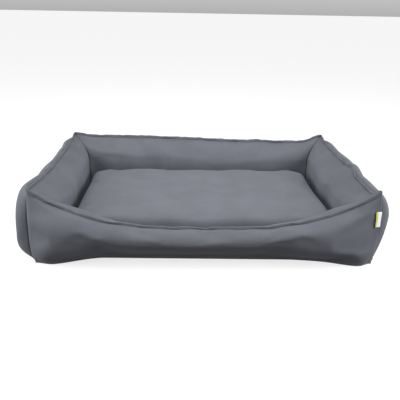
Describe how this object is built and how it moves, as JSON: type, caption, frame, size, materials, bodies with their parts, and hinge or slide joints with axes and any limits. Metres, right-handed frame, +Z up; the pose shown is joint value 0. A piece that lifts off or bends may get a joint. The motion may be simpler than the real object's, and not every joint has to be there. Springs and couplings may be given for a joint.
{
  "type": "pet cushion bed",
  "caption": "Rectangular padded pet bed: four stuffed bolster walls with a low front entry, a raised rim seam, and a loose zipped cushion.",
  "frame": {"origin": "centre of the underside, on the floor", "axes": "+X along the long side to the right as seen from the low entry wall, +Y from the entry wall to the back wall, +Z up"},
  "size_m": [1.1048, 0.84, 0.225],
  "materials": {
    "cover_suede": "brushed polyester microsuede, matt with a soft nap",
    "cushion_suede": "brushed polyester microsuede, matt with a soft nap",
    "base_cloth": "woven polyester with rubber grip dots",
    "lining_cloth": "plain polyester lining",
    "fibre_fill": "white hollow polyester fibre",
    "label_satin": "woven satin label with a plain green band",
    "zip_tape": "woven polyester tape",
    "zip_coil": "nylon coil",
    "zip_metal": "dark plated zinc alloy, satin"
  },
  "bodies": {
    "bed": {"base_panel": "base_cloth", "floor_panel": "lining_cloth", "outer_panel_front": "cover_suede", "outer_panel_back": "cover_suede", "outer_panel_left": "cover_suede", "outer_panel_right": "cover_suede", "inner_panel_front": "cover_suede", "inner_panel_back": "cover_suede", "inner_panel_left": "cover_suede", "inner_panel_right": "cover_suede", "bolster_fill_front": "fibre_fill", "bolster_fill_back": "fibre_fill", "bolster_fill_left": "fibre_fill", "bolster_fill_right": "fibre_fill", "rim_flange_front": "cover_suede", "rim_flange_back": "cover_suede", "rim_flange_left": "cover_suede", "rim_flange_right": "cover_suede", "side_label": "label_satin", "cover_zip_tape_upper": "zip_tape", "cover_zip_tape_lower": "zip_tape", "cover_zip_coil_upper": "zip_coil", "cover_zip_coil_lower": "zip_coil", "cover_zip_stops": "zip_metal"},
    "cover_zip_slider": {"cover_zip_slider": "zip_metal"},
    "cover_zip_puller": {"cover_zip_puller": "zip_metal"},
    "cushion": {"cushion_top_panel": "cushion_suede", "cushion_bottom_panel": "cushion_suede", "cushion_core": "fibre_fill", "cushion_zip_tape_upper": "zip_tape", "cushion_zip_tape_lower": "zip_tape", "cushion_zip_coil_upper": "zip_coil", "cushion_zip_coil_lower": "zip_coil", "cushion_zip_stops": "zip_metal"},
    "cushion_zip_slider": {"cushion_zip_slider": "zip_metal"},
    "cushion_zip_puller": {"cushion_zip_puller": "zip_metal"}
  },
  "joints": [
    {"name": "cushion_lift", "type": "slide", "parent": "bed", "child": "cushion", "axis": [0, 0, 1], "range_m": [0, 0.3]},
    {"name": "cover_zip_run", "type": "slide", "parent": "bed", "child": "cover_zip_slider", "axis": [1, 0, 0], "range_m": [0, 0.769]},
    {"name": "cover_puller_swing", "type": "hinge", "parent": "cover_zip_slider", "child": "cover_zip_puller", "pos_m": [-0.3845, 0.3499, 0.019], "axis": [0, 0, -1], "range_deg": [0, 180]},
    {"name": "cushion_zip_run", "type": "slide", "parent": "cushion", "child": "cushion_zip_slider", "axis": [1, 0, 0], "range_m": [0, 0.469]},
    {"name": "cushion_puller_swing", "type": "hinge", "parent": "cushion_zip_slider", "child": "cushion_zip_puller", "pos_m": [-0.2345, 0.26158, 0.01522], "axis": [0, -0.7071, -0.7071], "range_deg": [0, 40]}
  ]
}
